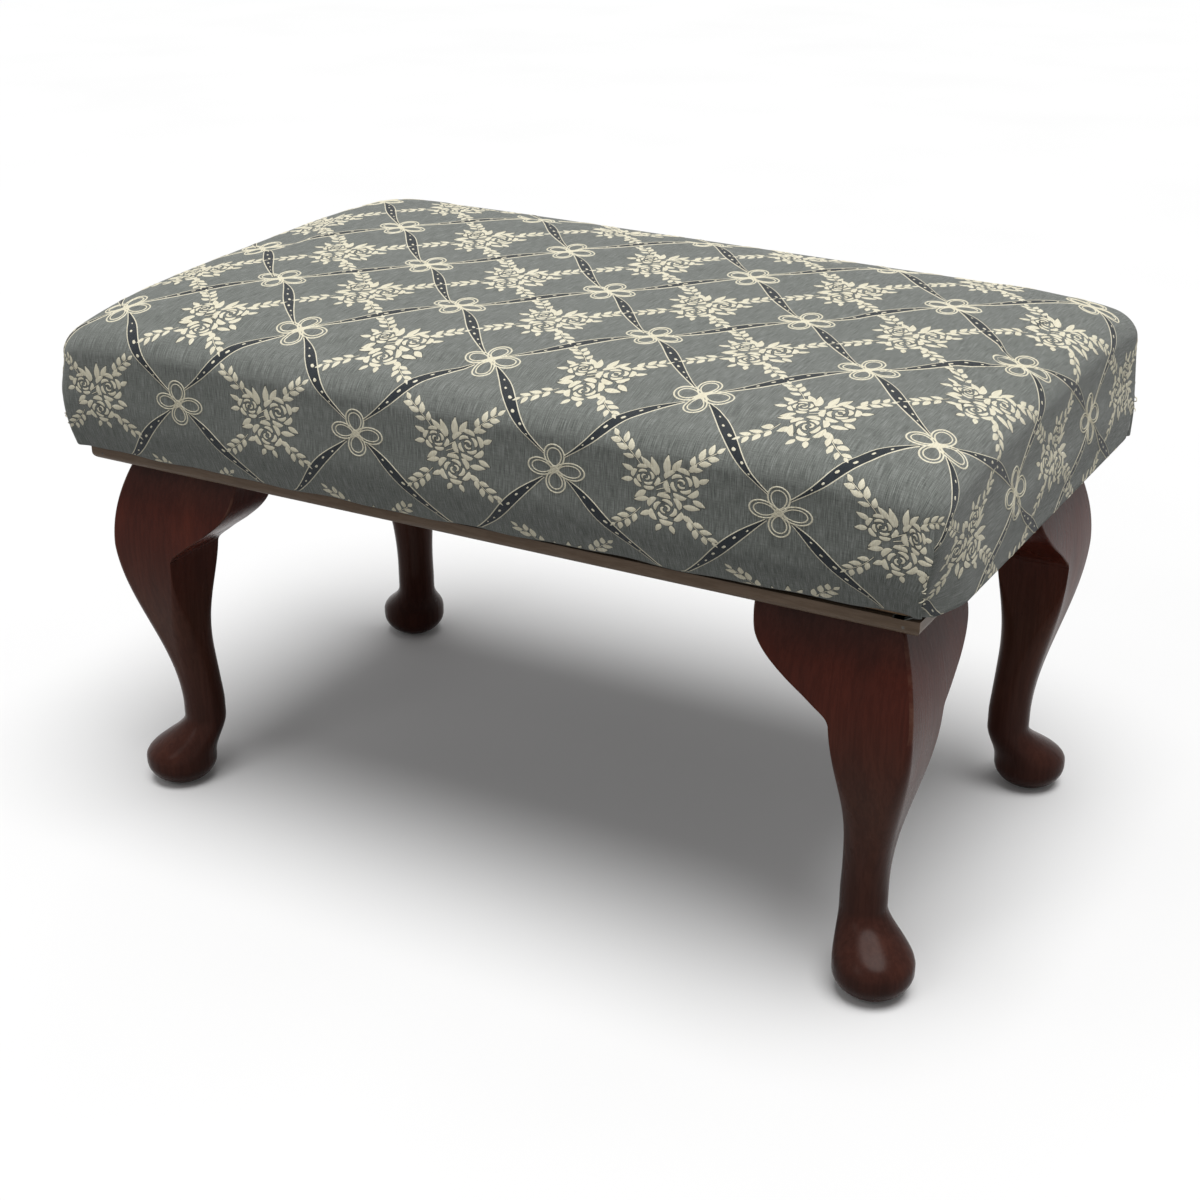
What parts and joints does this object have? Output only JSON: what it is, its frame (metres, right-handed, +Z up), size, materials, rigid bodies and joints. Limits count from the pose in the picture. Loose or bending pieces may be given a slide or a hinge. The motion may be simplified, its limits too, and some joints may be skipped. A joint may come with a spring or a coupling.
{
  "type": "upholstered footstool",
  "caption": "Low rectangular footstool with a crowned, fabric-covered pad over a wooden moulding on cabriole legs with round pad feet.",
  "frame": {"origin": "on the floor, under the middle of the stool", "axes": "+X along the long side to the right, +Y from the front to the back, +Z up"},
  "size_m": [0.523, 0.3252, 0.3068],
  "materials": {
    "leg_wood": "dark red-brown satin lacquer",
    "moulding_wood": "taupe-brown satin lacquer",
    "frame_wood": "bare sawn beech",
    "steel": "zinc plated",
    "webbing": "woven jute strap",
    "hessian": "open plain weave",
    "stuffing": "open-cell foam",
    "wadding": "soft fibre",
    "cover_cloth": "grey-blue cloth with a woven cream and dark ribbon trellis",
    "bottom_cloth": "thin black cloth"
  },
  "bodies": {
    "root": {"leg_front_left": "leg_wood", "leg_front_right": "leg_wood", "leg_back_left": "leg_wood", "leg_back_right": "leg_wood", "ear_front_left_long": "leg_wood", "ear_front_left_short": "leg_wood", "ear_front_right_long": "leg_wood", "ear_front_right_short": "leg_wood", "ear_back_left_long": "leg_wood", "ear_back_left_short": "leg_wood", "ear_back_right_long": "leg_wood", "ear_back_right_short": "leg_wood", "moulding_front": "moulding_wood", "moulding_back": "moulding_wood", "moulding_left": "moulding_wood", "moulding_right": "moulding_wood", "rail_front": "frame_wood", "rail_back": "frame_wood", "rail_left": "frame_wood", "rail_right": "frame_wood", "corner_block_front_left": "frame_wood", "corner_block_front_right": "frame_wood", "corner_block_back_left": "frame_wood", "corner_block_back_right": "frame_wood", "rail_dowels": "frame_wood", "ear_dowels": "frame_wood", "leg_bolts": "steel", "leg_washers": "steel", "leg_nuts": "steel", "corner_block_screws": "steel", "moulding_screws": "steel", "mitre_pins": "steel", "cover_staples": "steel", "bottom_cloth_staples": "steel", "webbing_tacks": "steel", "webbing_lengthwise": "webbing", "webbing_crosswise": "webbing", "hessian": "hessian", "stuffing_pad": "stuffing", "wadding": "wadding", "cover": "cover_cloth", "bottom_cloth": "bottom_cloth"}
  },
  "joints": []
}
